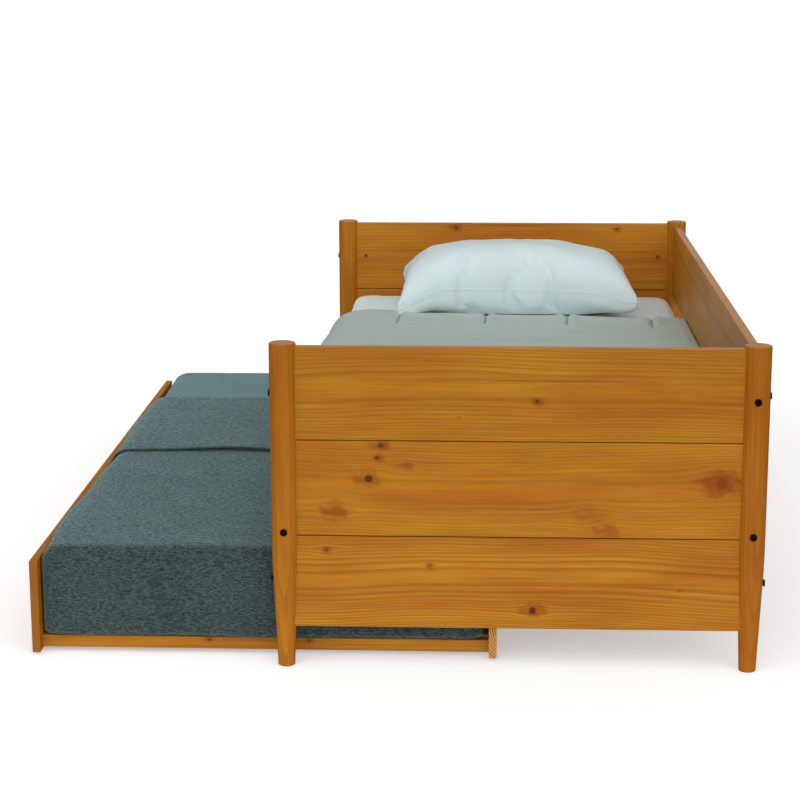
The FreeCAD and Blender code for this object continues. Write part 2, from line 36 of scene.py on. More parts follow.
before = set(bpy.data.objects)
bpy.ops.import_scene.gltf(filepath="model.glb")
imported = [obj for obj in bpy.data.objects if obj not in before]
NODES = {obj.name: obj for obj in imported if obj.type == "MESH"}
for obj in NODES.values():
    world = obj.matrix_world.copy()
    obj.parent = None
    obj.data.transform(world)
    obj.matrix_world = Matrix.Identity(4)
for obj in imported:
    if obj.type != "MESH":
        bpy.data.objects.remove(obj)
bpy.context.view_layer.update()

# Places, worked out from the frame
FRONT_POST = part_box("front_near_post")
BACK_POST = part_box("back_near_post")
BED_X = (FRONT_POST[0].x + BACK_POST[1].x) / 2
NEAR_Y = (FRONT_POST[0].y + FRONT_POST[1].y) / 2
RAIL_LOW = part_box("front_side_rail")[0]
TRUNDLE_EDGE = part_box("trundle_front_board")[1]    # the inner top edge of the trundle's front board

# Camera: its place from the floor midway between the near posts, its turns in radians, its lens in mm
CAMERA_FROM_POSTS = Vector((-0.0557, -4.2176, 1.5418))
CAMERA_DOWN = 0.2195
CAMERA_LEFT = 0.0468
CAMERA_ROLL = -0.0027
CAMERA_LENS = 90.94
CAMERA_SENSOR = 36

# Light
BACKDROP = 1.1              # the surround, as the camera sees it
SOFT_LIGHT = 0.21           # from everywhere
FRONT_LIGHT = 1.86          # more of it from the camera's side
GLOSS_NEAR = 0.06           # what surfaces mirror on the camera's side
GLOSS_FAR = 0.85            # and on the far side
OVERHEAD = dict(place=(BED_X - 0.5, -0.3, 3.4), target=(BED_X - 0.3, 0, 0), size=(4.5, 4.5), power=15)

# Floor
FLOOR_REACH = 80
FLOOR_GLOW = 0.39           # its own light, as the camera sees it
FLOOR_SHADE = 0.97          # how white its lit part is
FLOOR_UNMIRRORED = 0.8      # the share of the lit part that glossy surfaces don't mirror
FLOOR_FADE = (1.6, 3.4)     # where the floor goes over into the backdrop


# Camera, light and floor

def make_camera():
    """The view onto the near end, from a little to the trundle's side and above."""
    heading = -CAMERA_LEFT
    forward = Vector((math.sin(heading) * math.cos(CAMERA_DOWN),
                      math.cos(heading) * math.cos(CAMERA_DOWN), -math.sin(CAMERA_DOWN)))
    right = Vector((math.cos(heading), -math.sin(heading), 0))
    up = right.cross(forward)
    c, s = math.cos(CAMERA_ROLL), math.sin(CAMERA_ROLL)
    right, up = c * right + s * up, c * up - s * right
    data = bpy.data.cameras.new("camera")
    data.lens = CAMERA_LENS
    data.sensor_width = CAMERA_SENSOR
    data.clip_end = 200
    camera = bpy.data.objects.new("camera", data)
    turn = Matrix((right, up, -forward)).transposed().to_4x4()
    camera.matrix_world = Matrix.Translation(Vector((BED_X, NEAR_Y, 0)) + CAMERA_FROM_POSTS) @ turn
    bpy.context.scene.collection.objects.link(camera)
    bpy.context.scene.camera = camera


def area_light(name, place, target, size, power):
    """A soft rectangular lamp that looks at the target."""
    data = bpy.data.lights.new(name, "AREA")
    data.shape = "RECTANGLE"
    data.size, data.size_y = size
    data.energy = power
    lamp = bpy.data.objects.new(name, data)
    lamp.location = place
    lamp.rotation_euler = (Vector(target) - Vector(place)).to_track_quat("-Z", "Y").to_euler()
    bpy.context.scene.collection.objects.link(lamp)


def make_world():
    """A white surround to look at, soft light that comes mostly from the front, and reflections
    that are bright only on the far side."""
    world = bpy.data.worlds.new("studio")
    p = Paint("studio", world)
    rays = p.node("ShaderNodeLightPath").outputs
    way = p.split(p.node("ShaderNodeTexCoord").outputs["Generated"])
    seen, gloss = rays["Is Camera Ray"], rays["Is Glossy Ray"]
    shine = p.ramp(way["Y"], 0.0, 0.9, GLOSS_NEAR, GLOSS_FAR, smooth=False)
    front = p.times(p.math("MAXIMUM", p.times(way["Y"], -1.0), 0.0), FRONT_LIGHT)
    soft = p.times(p.math("MAXIMUM", p.less(p.less(1.0, seen), gloss), 0.0), p.add(front, SOFT_LIGHT))
    total = p.add(p.times(seen, BACKDROP), p.add(p.times(gloss, shine), soft))
    p.finish(p.node("ShaderNodeBackground", {"Color": (1.0, 1.0, 1.0), "Strength": total}), "World")
    bpy.context.scene.world = world


def make_studio():
    """The white room: a floor that keeps the contact shadows and melts into the backdrop."""
    make_world()
    bpy.context.scene.view_settings.view_transform = "Standard"
    area_light("overhead", **OVERHEAD)
    floor = grid_object("floor", 2, 2,
                        lambda u, v: ((2 * u - 1) * FLOOR_REACH, (2 * v - 1) * FLOOR_REACH, 0))
    p = Paint("floor_white")
    rays = p.node("ShaderNodeLightPath").outputs
    at = p.split(p.place())
    away = p.ramp(p.length(at[0], at[1]), *FLOOR_FADE)
    unmirrored = p.times(rays["Is Glossy Ray"], FLOOR_UNMIRRORED * FLOOR_SHADE)
    shade = p.times(p.less(1.0, away), p.less(FLOOR_SHADE, unmirrored))
    glow = p.times(rays["Is Camera Ray"], p.add(p.times(away, BACKDROP - FLOOR_GLOW), FLOOR_GLOW))
    lit = p.node("ShaderNodeBsdfDiffuse", {"Color": p.join(shade, shade, shade)})
    own = p.node("ShaderNodeEmission", {"Color": (1.0, 1.0, 1.0), "Strength": glow})
    p.finish(p.node("ShaderNodeAddShader", {0: lit.outputs[0], 1: own.outputs[0]}), "Material")
    floor.data.materials.append(p.owner)


# Mesh helpers

def link(name, mesh):
    thing = bpy.data.objects.new(name, mesh)
    bpy.context.scene.collection.objects.link(thing)
    return thing


def grid_object(name, columns, rows, place):
    """A sheet of quads: place(u, v) gives a point for u and v from 0 to 1."""
    verts = [place(i / (columns - 1), j / (rows - 1)) for j in range(rows) for i in range(columns)]
    faces = [(j * columns + i, j * columns + i + 1, (j + 1) * columns + i + 1, (j + 1) * columns + i)
             for j in range(rows - 1) for i in range(columns - 1)]
    mesh = bpy.data.meshes.new(name)
    mesh.from_pydata(verts, [], faces)
    mesh.polygons.foreach_set("use_smooth", [True] * len(faces))
    return link(name, mesh)


def apply_modifiers(thing):
    """Turn a piece and its modifiers into a plain smooth mesh."""
    shaped = thing.evaluated_get(bpy.context.evaluated_depsgraph_get())
    mesh = bpy.data.meshes.new_from_object(shaped)
    thing.modifiers.clear()
    thing.data = mesh
    mesh.polygons.foreach_set("use_smooth", [True] * len(mesh.polygons))


def thicken(thing, thickness):
    """Give a sheet its thickness, inward from the surface that shows."""
    solid = thing.modifiers.new("thickness", "SOLIDIFY")
    solid.thickness = thickness
    solid.offset = -1
    apply_modifiers(thing)


def smooth_step(value, low, high):
    """From 0 at low to 1 at high, easing in and out."""
    t = min(1.0, max(0.0, (value - low) / (high - low)))
    return t * t * (3 - 2 * t)


def bell(value, middle, width):
    """1 at the middle, falling away to both sides."""
    return math.exp(-((value - middle) / width) ** 2)


def ripple(x, y, z=0.0):
    """Smooth noise from -1 to 1."""
    return noise.noise(Vector((x, y, z)))


def curve_through(points, count):
    """Even points along a smooth curve through the given ones."""
    pts = np.array(points, dtype=float)
    pts = np.vstack([2 * pts[0] - pts[1], pts, 2 * pts[-1] - pts[-2]])
    fine = []
    for p0, p1, p2, p3 in zip(pts, pts[1:], pts[2:], pts[3:]):
        for t in np.linspace(0, 1, 24, endpoint=False):
            fine.append(0.5 * (2 * p1 + (p2 - p0) * t + (2 * p0 - 5 * p1 + 4 * p2 - p3) * t ** 2
                               + (3 * p1 - p0 - 3 * p2 + p3) * t ** 3))
    fine = np.array(fine + [pts[-2]])
    along = np.concatenate([[0], np.cumsum(np.linalg.norm(np.diff(fine, axis=0), axis=1))])
    even = np.linspace(0, along[-1], count)
    return np.column_stack([np.interp(even, along, fine[:, k]) for k in range(pts.shape[1])])


def tube(name, points, radius):
    """A closed round cord through points, such as a piping."""
    data = bpy.data.curves.new(name, "CURVE")
    data.dimensions = "3D"
    data.bevel_depth = radius
    data.bevel_resolution = 2
    spline = data.splines.new("POLY")
    spline.points.add(len(points) - 1)
    for point, place in zip(spline.points, points):
        point.co = (*place, 1)
    spline.use_cyclic_u = True
    made = bpy.data.objects.new(name, data)
    bpy.context.scene.collection.objects.link(made)
    mesh = bpy.data.meshes.new_from_object(made.evaluated_get(bpy.context.evaluated_depsgraph_get()))
    bpy.data.objects.remove(made)
    mesh.polygons.foreach_set("use_smooth", [True] * len(mesh.polygons))
    return link(name, mesh)


class Block:
    """A mattress as its covers see it: rounded in plan, rounded along its edges, top from rise."""

    def __init__(self, node, corner, edge, rise=None):
        self.low, self.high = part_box(node)
        self.middle = (self.low + self.high) / 2
        self.half = (self.high - self.low) / 2
        self.corner, self.edge = corner, edge
        self.rise = rise or (lambda x, y: 0.0)

    def drop_to(self, height):
        """Flat distance from a side's straight part in to the height z, past the corner's radius."""
        arc = self.edge * math.pi / 2
        return self.corner - self.edge + arc + self.high.z - self.edge - height

    def reach(self, height):
        """Flat half width and half length of a cover whose edge hangs at a height."""
        return (self.half.x - self.corner + self.drop_to(height),
                self.half.y - self.corner + self.drop_to(height))

    def wrap(self, u, v, lift=0.0):
        """Point and outward normal at flat distances u and v from the middle of the top."""
        inner_x, inner_y = self.half.x - self.corner, self.half.y - self.corner
        qx, qy = max(-inner_x, min(inner_x, u)), max(-inner_y, min(inner_y, v))
        ex, ey = u - qx, v - qy
        far, long = max(abs(ex), abs(ey)), math.hypot(ex, ey)
        dx, dy = (ex / long, ey / long) if long > 0 else (0.0, 0.0)
        flat = self.corner - self.edge
        turn = min(max(far - flat, 0.0) / self.edge, math.pi / 2)
        out = min(far, flat) + self.edge * math.sin(turn)
        down = self.edge * (1 - math.cos(turn)) + max(far - flat - self.edge * math.pi / 2, 0.0)
        x, y = self.middle.x + qx + dx * out, self.middle.y + qy + dy * out
        normal = Vector((dx * math.sin(turn), dy * math.sin(turn), math.cos(turn)))
        lifted = self.rise(x, y) * math.cos(turn)
        return Vector((x, y, self.high.z - down + lifted)) + normal * lift, normal


# Materials

class Paint:
    """A small builder for the nodes of one material, or of the world."""

    def __init__(self, name, owner=None):
        self.owner = owner or bpy.data.materials.new(name)
        self.owner.use_nodes = True
        self.tree = self.owner.node_tree
        self.tree.nodes.clear()

    def node(self, kind, inputs=None, **settings):
        made = self.tree.nodes.new(kind)
        for key, value in settings.items():
            setattr(made, key, value)
        for key, value in (inputs or {}).items():
            self.feed(made.inputs[key], value)
        return made

    def feed(self, socket, value):
        if isinstance(value, bpy.types.NodeSocket):
            self.tree.links.new(value, socket)
        elif isinstance(value, tuple) and len(value) == 3 and socket.type == "RGBA":
            socket.default_value = (*value, 1)
        else:
            socket.default_value = value

    def math(self, operation, *values):
        made = self.node("ShaderNodeMath", operation=operation)
        for socket, value in zip(made.inputs, values):
            self.feed(socket, value)
        return made.outputs[0]

    def add(self, a, b):
        return self.math("ADD", a, b)

    def less(self, a, b):
        return self.math("SUBTRACT", a, b)

    def times(self, a, b):
        return self.math("MULTIPLY", a, b)

    def wave(self, value, period):
        """A sine with a length, from -1 to 1."""
        return self.math("SINE", self.times(value, 2 * math.pi / period))

    def length(self, a, b):
        return self.math("SQRT", self.add(self.times(a, a), self.times(b, b)))

    def split(self, value):
        return self.node("ShaderNodeSeparateXYZ", {"Vector": value}).outputs

    def join(self, x, y, z):
        return self.node("ShaderNodeCombineXYZ", {"X": x, "Y": y, "Z": z}).outputs[0]

    def place(self):
        return self.node("ShaderNodeTexCoord").outputs["Object"]

    def facing(self):
        return self.node("ShaderNodeTexCoord").outputs["Normal"]

    def noise(self, at, scale=1.0, detail=2.0, rough=0.5):
        made = self.node("ShaderNodeTexNoise", {"Vector": at, "Scale": scale, "Detail": detail,
                                                "Roughness": rough})
        return made.outputs["Fac"]

    def stretched(self, at, sx, sy, sz, shift=0.0, detail=2.0, rough=0.5):
        """Noise with its own scale on each axis of a split vector."""
        point = self.join(self.times(at[0], sx), self.times(at[1], sy),
                          self.add(self.times(at[2], sz), shift))
        return self.noise(point, 1.0, detail, rough)

    def ramp(self, value, low, high, to_low=0.0, to_high=1.0, smooth=True):
        made = self.node("ShaderNodeMapRange", {"Value": value, "From Min": low, "From Max": high,
                                                "To Min": to_low, "To Max": to_high},
                         interpolation_type="SMOOTHSTEP" if smooth else "LINEAR")
        return made.outputs[0]

    def vary(self, grain, low, high):
        """A noise drawn out to a range."""
        return self.ramp(grain, 0.3, 0.7, low, high, smooth=False)

    def mix(self, share, a, b, blend="MIX"):
        made = self.node("ShaderNodeMix", data_type="RGBA", blend_type=blend)
        self.feed(made.inputs["Factor"], share)
        self.feed(made.inputs[6], a)
        self.feed(made.inputs[7], b)
        return made.outputs[2]

    def dim(self, color, amount):
        """A colour times a number."""
        return self.mix(1.0, color, self.join(amount, amount, amount), "MULTIPLY")

    def bump(self, height, distance, strength, normal=None):
        inputs = {"Height": height, "Distance": distance, "Strength": strength}
        if normal is not None:
            inputs["Normal"] = normal
        return self.node("ShaderNodeBump", inputs).outputs[0]

    def shader(self, color, roughness, normal, specular=0.5, metallic=0.0, sheen=0.0,
               sheen_tint=(1.0, 1.0, 1.0)):
        made = self.node("ShaderNodeBsdfPrincipled", {
            "Base Color": color, "Roughness": roughness, "Normal": normal,
            "Specular IOR Level": specular, "Metallic": metallic, "Sheen Weight": sheen,
            "Sheen Roughness": 0.5, "Sheen Tint": sheen_tint})
        return self.finish(made, "Material")

    def finish(self, made, kind):
        """Join the last node to the output."""
        out = self.node("ShaderNodeOutput" + kind)
        self.tree.links.new(made.outputs[0], out.inputs[0])
        return self.owner


def srgb(r, g, b):
    """A colour written as display values from 0 to 255."""
    return tuple((c / 255 / 12.92) if c <= 10 else ((c / 255 + 0.055) / 1.055) ** 2.4 for c in (r, g, b))


def assign(node, material):
    """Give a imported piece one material."""
    mesh = NODES[node].data
    mesh.materials.clear()
    mesh.materials.append(material)


# Wood

HONEY = dict(pale=srgb(198, 136, 29), rich=srgb(179, 105, 16), late=srgb(145, 73, 9),
             halo=srgb(152, 70, 12))
POST_TONE = dict(pale=srgb(194, 126, 24), rich=srgb(176, 100, 14), late=srgb(142, 70, 8),
                 halo=srgb(152, 71, 10))
PLAIN = dict(pale=srgb(214, 180, 128), rich=srgb(200, 158, 104), late=srgb(172, 122, 70),
             halo=srgb(176, 120, 64))
KNOT = srgb(96, 50, 18)
END_GRAIN = srgb(158, 98, 40)
SAWN_END = srgb(216, 162, 92)
RING_PITCH = 0.0052
GRAIN_RELIEF = 0.00012
SEALED = dict(rough=0.6, specular=0.1)      # the trundle's long boards
BARE = dict(rough=0.62, specular=0.2)       # slats and ledgers
FIGURES = {"near_panel_lower_board": 0.5, "near_panel_upper_board": 0.42}
FIGURE = 0.32                               # how strongly the growth rings show elsewhere


def from_middle(*knots):
    """Knots given by their distance from the bed's middle, height, radius, core and halo."""
    return [(BED_X + along, *rest) for along, *rest in knots]


KNOTS = {
    "near_panel_upper_board": from_middle(
        (0.040, 0.602, 0.0045, 0.95, 0.7), (-0.126, 0.565, 0.002, 0.7, 0.2)),
    "near_panel_middle_board": from_middle(
        (-0.295, 0.502, 0.0065, 0.8, 0.75), (-0.303, 0.474, 0.005, 0.85, 0.7),
        (-0.322, 0.428, 0.0095, 1.0, 0.6), (-0.242, 0.458, 0.006, 0.0, 0.6),
        (-0.394, 0.356, 0.010, 0.0, 0.75), (0.434, 0.424, 0.014, 0.35, 0.85),
        (0.157, 0.349, 0.012, 0.0, 0.4), (0.193, 0.318, 0.009, 0.0, 0.6)),
    "near_panel_lower_board": from_middle(
        (-0.414, 0.268, 0.005, 0.6, 0.6), (-0.189, 0.235, 0.005, 0.5, 0.5),
        (0.035, 0.135, 0.0085, 0.95, 0.7), (0.352, 0.183, 0.002, 0.5, 0.3)),
    "far_panel_upper_board": from_middle(
        (-0.171, 0.704, 0.007, 0.8, 0.7), (0.322, 0.700, 0.005, 0.8, 0.6)),
    "trundle_near_end_rail": from_middle(
        (-0.461, 0.033, 0.004, 0.8, 0.6), (-0.685, 0.033, 0.004, 0.8, 0.6)),
}


def knot_field(p, a, w, seed, knots, flow):
    """Bend the flow of the grain round each knot, and give the knots' core and halo shares."""
    core, halo = 0.0, 0.0
    for along, across, radius, dark, glow in knots:
        da, dw = p.less(a, along), p.less(w, across)
        wobble = p.less(p.noise(p.join(da, dw, seed), 55.0, 2.0), 0.5)
        wide = p.length(p.times(da, 0.5), dw)
        near = p.add(p.length(da, dw), p.times(wobble, radius * 0.9))
        pull = p.math("EXPONENT", p.times(p.math("POWER", p.math("DIVIDE", wide, radius * 2.2), 2.0), -1.0))
        flow = p.less(flow, p.times(dw, p.times(pull, 0.9)))
        core = p.math("MAXIMUM", core, p.ramp(near, radius * 0.72, radius * 1.08, dark, 0.0))
        spread = p.add(p.length(p.times(da, 0.62), dw), p.times(wobble, radius * 3.4))
        halo = p.math("MAXIMUM", halo, p.ramp(spread, radius * 0.8, radius * 2.8, glow, 0.0))
    return core, halo, flow


def growth_rings(p, a, flow, d, own, seed, pith_w, pith_d):
    """The late wood's share in the rings round a pith outside the board."""
    drift = p.noise(p.join(p.times(a, 1.5), p.add(seed, p.times(own, 9.0)), 0.0), 1.0, 1.0)
    radius = p.length(p.add(p.less(flow, pith_w), p.times(p.less(drift, 0.5), 0.07)),
                      p.less(d, p.add(pith_d, p.times(own, 0.03))))
    uneven = p.times(p.noise(p.join(p.times(radius, 60.0), seed, 0.0)), 1.5)
    year = p.math("FRACT", p.add(p.math("DIVIDE", radius, RING_PITCH), uneven))
    return p.times(p.ramp(year, 0.3, 0.86), p.ramp(year, 0.9, 1.0, 1.0, 0.0))


def board_number(p, at, seed, plank):
    """A number from 0 to 1 for each board of a row."""
    axis, start, pitch = plank
    number = p.math("FLOOR", p.math("DIVIDE", p.less(at[axis], start), pitch))
    return p.node("ShaderNodeTexWhiteNoise", {"Vector": p.join(number, seed, 0.5)}).outputs["Value"]


def pine(name, grain, across, seed, tones, node=None, knots=(), plank=None, figure=0.35, rough=0.42,
         specular=0.25, end_tint=None, end_rings=0.3):
    """Stained pine as a solid texture, cut from a log of its own. grain and across are axis letters.
    knots is a list of (along, across, radius, core, halo). plank is (axis, start, pitch) where one
    material serves a row of boards."""
    pick = random.Random(seed)
    p = Paint(name)
    at = p.split(p.place())
    depth = ({"X", "Y", "Z"} - {grain, across}).pop()
    a, w, d = at[grain], at[across], at[depth]
    own = board_number(p, at, seed, plank) if plank else 0.5
    slow = p.noise(p.join(p.times(a, 1.3), p.times(w, 5.0), p.add(p.times(own, 40.0), seed)), 1.0, 2.0)
    flow = p.add(w, p.times(p.less(slow, 0.5), 0.03))
    core, halo, flow = knot_field(p, a, w, seed, knots, flow)
    skip = p.add(p.times(own, 300.0), seed * 7.0)

    def streaks(along, through, detail, spread=0.5):
        """Noise drawn out along the grain."""
        point = p.join(p.times(a, along), p.times(flow, through), p.add(p.times(d, through), skip))
        return p.noise(point, 1.0, detail, spread)

    # fine lines, heavier lines, and where they gather
    fine = streaks(2.2, 300.0, 2.0)
    heavy = streaks(1.1, 105.0, 1.0)
    gather = p.noise(p.join(p.times(a, 1.4), p.times(flow, 20.0), p.add(seed, skip)), 1.0, 2.0)
    line = p.math("MAXIMUM", p.times(p.ramp(fine, 0.46, 0.7), 0.55), p.ramp(heavy, 0.56, 0.72))
    line = p.times(line, p.ramp(gather, 0.38, 0.66, 0.15, 1.0))
    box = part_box(node) if node else (Vector((0, 0, 0)), Vector((0, 0, 0)))
    axis_w, axis_d = "XYZ".index(across), "XYZ".index(depth)
    pith_w = (box[0][axis_w] + box[1][axis_w]) / 2 + pick.uniform(-0.05, 0.05)
    pith_d = box[1][axis_d] + pick.uniform(0.02, 0.05)
    ring = growth_rings(p, a, flow, d, own, seed, pith_w, pith_d)
    patch = p.noise(p.join(p.times(a, 2.6), p.times(w, 11.0), p.add(skip, 7.1)), 1.0, 3.0, 0.55)
    color = p.mix(p.ramp(patch, 0.2, 0.8), tones["pale"], tones["rich"])
    line = p.math("MAXIMUM", p.times(line, 0.62), p.times(ring, figure))
    color = p.mix(line, color, tones["late"])
    color = p.mix(halo, color, tones["halo"])
    color = p.mix(core, color, KNOT)
    fibre = p.noise(p.join(p.times(a, 16.0), p.times(w, 800.0), p.times(d, 800.0)), 1.0, 2.0, 0.6)
    strand = streaks(5.0, 240.0, 3.0, 0.6)
    color = p.dim(color, p.vary(fibre, 0.94, 1.06))
    color = p.dim(color, p.ramp(strand, 0.34, 0.66, 0.91, 1.06, smooth=False))
    if end_tint:
        flat = p.ramp(p.math("ABSOLUTE", p.split(p.facing())[grain]), 0.8, 0.95)
        sawn = p.mix(p.times(ring, end_rings), end_tint, tones["late"])
        color = p.mix(flat, color, sawn)
    height = p.add(p.times(line, -0.6), p.times(fibre, 0.4))
    return p.shader(color, p.ramp(line, 0.0, 1.0, rough, rough + 0.1, smooth=False),
                    p.bump(height, GRAIN_RELIEF, 0.5), specular=specular)


def board_cut(node):
    """How a board is cut: its grain's axis, its width's axis, its tones and its finish."""
    if "_panel_" in node or node.endswith("_end_rail"):
        return "X", "Z", HONEY, {}
    if node == "trundle_front_board":
        return "Y", "Z", HONEY, dict(end_tint=END_GRAIN, **SEALED)
    if node == "trundle_rear_board":
        return "Y", "Z", HONEY, dict(end_tint=SAWN_END, end_rings=0.9, **SEALED)
    if node == "back_board" or node.endswith("_side_rail"):
        return "Y", "Z", HONEY, dict(end_tint=END_GRAIN)
    if node.endswith("_post"):
        return "Z", "X", POST_TONE, {}
    return None


def paint_wood():
    """Every board from its own log; the slats of each bed share one material, and so do its ledgers."""
    seed = 1
    for node in sorted(NODES):
        seed += 1
        cut = board_cut(node)
        if cut:
            grain, across, tones, finish = cut
            assign(node, pine("pine_" + node, grain, across, seed, tones, node=node,
                              knots=KNOTS.get(node, ()), figure=FIGURES.get(node, FIGURE), **finish))
    slats = sorted(node for node in NODES if "_slat_" in node and "ledger" not in node)
    for row in ("bed", "trundle"):
        own = [node for node in slats if node.startswith(row)]
        start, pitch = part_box(own[0])[0].y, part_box(own[1])[0].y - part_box(own[0])[0].y
        paint = pine(row + "_slat_pine", "X", "Y", seed, PLAIN, node=own[0], plank=("Y", start, pitch),
                     **BARE)
        ledger = pine(row + "_ledger_pine", "Y", "Z", seed + 1, PLAIN, node=own[0], **BARE)
        seed += 2
        for node in own:
            assign(node, paint)
        for node in NODES:
            if node.endswith("ledger") and node.startswith("trundle") == (row == "trundle"):
                assign(node, ledger)


# Metal and plastic

def metal(name, color, rough, metallic):
    """Plated or blackened steel, a little uneven."""
    p = Paint(name)
    at = p.place()
    blotch = p.noise(at, 260.0, 3.0, 0.6)
    grit = p.noise(at, 2600.0, 1.0)
    tone = p.dim(color, p.vary(blotch, 0.85, 1.15))
    return p.shader(tone, p.vary(blotch, rough - 0.06, rough + 0.08),
                    p.bump(grit, 0.00004, 0.4), metallic=metallic)


def plastic(name, color):
    """Moulded nylon with a fine spark texture."""
    p = Paint(name)
    at = p.place()
    spark = p.noise(at, 1800.0, 2.0, 0.6)
    scuff = p.noise(at, 90.0, 3.0)
    tone = p.dim(color, p.ramp(scuff, 0.3, 0.75, 0.9, 1.25, smooth=False))
    return p.shader(tone, p.vary(scuff, 0.42, 0.58), p.bump(spark, 0.00008, 0.5),
                    specular=0.4)


def paint_hardware():
    """Bolts, nuts, screws, dowels and the trundle's rollers."""
    black = metal("black_steel", srgb(30, 30, 32), 0.42, 0.6)
    zinc = metal("zinc_steel", srgb(188, 190, 192), 0.34, 1.0)
    dull = metal("barrel_steel", srgb(150, 122, 92), 0.5, 0.85)
    nylon = plastic("roller_nylon", srgb(44, 44, 47))
    beech = pine("beech_dowel", "Y", "Z", 91, PLAIN, figure=0.1, rough=0.6, specular=0.2)
    paints = {"frame_bolts": black, "barrel_nuts": dull, "bed_screws": zinc, "trundle_screws": zinc,
              "roller_brackets": zinc, "roller_axles": zinc, "rail_dowels": beech, "trundle_dowels": beech}
    for node in NODES:
        if node in paints:
            assign(node, paints[node])
        elif node.endswith("_roller"):
            assign(node, nylon)


# Cloth

WHITE = (0.78, 0.90, 0.91)
PILLOW_WHITE = (0.66, 0.765, 0.78)
BORDER_WHITE = srgb(196, 194, 186)
SAGE = (0.445, 0.54, 0.485)
TEAL = (0.150, 0.275, 0.29)
KNIT_YARNS = ((0.014, 0.024, 0.025), (0.082, 0.112, 0.112))     # dark and light
KNIT_BLOOM = ((0.08, 0.28, 0.31), (0.80, 1.0, 1.0))             # the brushed fibre over each of them
TICKING_BASE = srgb(226, 222, 212)
TICKING_STRIPE = srgb(138, 148, 158)

QUILT_TACKS = (-0.053, 0.196, 0.428, 0.667)     # X of the stitched tacks along the quilt's hem
QUILT_TACK_LONG = 0.16
TACK_SLANT = 0.035          # they lean by this much along X for each unit of Y
TACK_PIVOT_Y = 0.5


def cotton(name, color, period=0.0011, crease=0.5, stitches=()):
    """Plain woven cotton: crossed threads, small creases and a slightly uneven tone. stitches are the X of
    sewn lines that run along Y at the pillow end; along each, the tone is darkened as painted shade in the
    stitched furrow."""
    p = Paint(name)
    at = p.split(p.place())
    threads = p.add(p.wave(at[0], period), p.add(p.wave(at[1], period), p.wave(at[2], period)))
    crumple = p.stretched(at, 14.0, 22.0, 22.0, 3.1, 3.0, 0.55)
    cloud = p.stretched(at, 3.0, 5.0, 6.0, 8.2, 3.0)
    tone = p.dim(color, p.add(p.vary(cloud, 0.965, 1.03), p.times(threads, 0.006)))
    # painted shade: the tone is darkened along each stitched line, where its furrow lies in shade
    for tack in stitches:
        drift = p.times(p.less(at[1], TACK_PIVOT_Y), TACK_SLANT)
        away = p.math("ABSOLUTE", p.less(p.less(at[0], tack), drift))
        furrow_shade = p.times(p.ramp(away, 0.0012, 0.0034, 1.0, 0.0), p.ramp(at[1], 0.36, 0.39))
        tone = p.dim(tone, p.less(1.0, p.times(furrow_shade, 0.5)))
    normal = p.bump(crumple, 0.004, crease, p.bump(threads, 0.00012, 0.35))
    return p.shader(tone, 0.86, normal, specular=0.2, sheen=0.15)


def heather(name, yarns, blooms):
    """Brushed jersey knit from mixed yarns: short dashes of darker and lighter fibre."""
    p = Paint(name)
    at = p.split(p.place())
    dashes = p.stretched(at, 110.0, 230.0, 300.0, 1.7, 2.0, 0.65)
    flecks = p.stretched(at, 260.0, 520.0, 620.0, 5.9, 2.0, 0.7)
    cloud = p.stretched(at, 7.0, 4.5, 9.0, 2.6, 3.0)
    share = p.add(p.times(p.ramp(dashes, 0.36, 0.66), 0.62), p.times(p.ramp(flecks, 0.36, 0.66), 0.38))
    tone = p.dim(p.mix(share, *yarns), p.vary(cloud, 0.88, 1.12))
    ribs = p.add(p.wave(at[0], 0.0022), p.times(p.add(p.wave(at[1], 0.0034), p.wave(at[2], 0.0034)), 0.6))
    normal = p.bump(p.add(flecks, p.times(ribs, 0.15)), 0.0009, 0.6)
    return p.shader(tone, 0.95, normal, specular=0.1, sheen=0.75, sheen_tint=p.mix(share, *blooms))


def ticking(name):
    """Mattress ticking: off-white with thin grey stripes, stitched in diamonds."""
    p = Paint(name)
    at = p.split(p.place())
    stripe = p.ramp(p.wave(at[0], 0.024), 0.86, 0.95)
    base = p.mix(p.times(stripe, 0.6), TICKING_BASE, TICKING_STRIPE)
    diamond = p.times(p.math("ABSOLUTE", p.wave(p.add(at[0], at[1]), 0.16)),
                      p.math("ABSOLUTE", p.wave(p.less(at[0], at[1]), 0.16)))
    thread = p.add(p.wave(at[0], 0.0014), p.add(p.wave(at[1], 0.0014), p.wave(at[2], 0.0014)))
    normal = p.bump(p.ramp(diamond, 0.0, 0.25), 0.003, 0.6, p.bump(thread, 0.00015, 0.4))
    cloud = p.noise(p.place(), 9.0, 3.0)
    return p.shader(p.dim(base, p.vary(cloud, 0.96, 1.03)), 0.8, normal,
                    specular=0.2, sheen=0.1)


def dress(piece, material, slot, body, *replaced):
    """Give a piece its material and its body, and hide what it stands for. The slot is not used."""
    piece.data.materials.clear()
    piece.data.materials.append(material)
    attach(piece, body)
    if replaced:
        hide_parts(*replaced)


# Mattresses

MATTRESS_CORNER = 0.055     # radius in plan
MATTRESS_EDGE = 0.03        # radius along the top and bottom edges
MATTRESS_INSET = 0.0015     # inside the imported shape, so that its sheet clears it
TUFT_WAVES = 19.6           # tufts, in radians per metre
PIPING_R = 0.0026


def mattress_half(block, side):
    """The upper or the lower cover, down or up to the middle of the sides."""
    reach_x, reach_y = block.reach(block.middle.z)

    def place(u, v):
        flat_x, flat_y = (2 * u - 1) * reach_x, (2 * v - 1) * reach_y
        point, normal = block.wrap(flat_x, flat_y, -MATTRESS_INSET)
        level = (point.z - block.middle.z) / block.half.z
        swell = 0.0012 * (1 - level ** 2) * (1 - abs(normal.z))
        diamonds = math.sin(TUFT_WAVES * (flat_x + flat_y)) * math.sin(TUFT_WAVES * (flat_x - flat_y))
        tuft = 0.0016 * abs(diamonds)
        point += normal * (swell - (0.0016 - tuft) * abs(normal.z))
        return (point.x, point.y, block.middle.z + side * (point.z - block.middle.z))
    return place


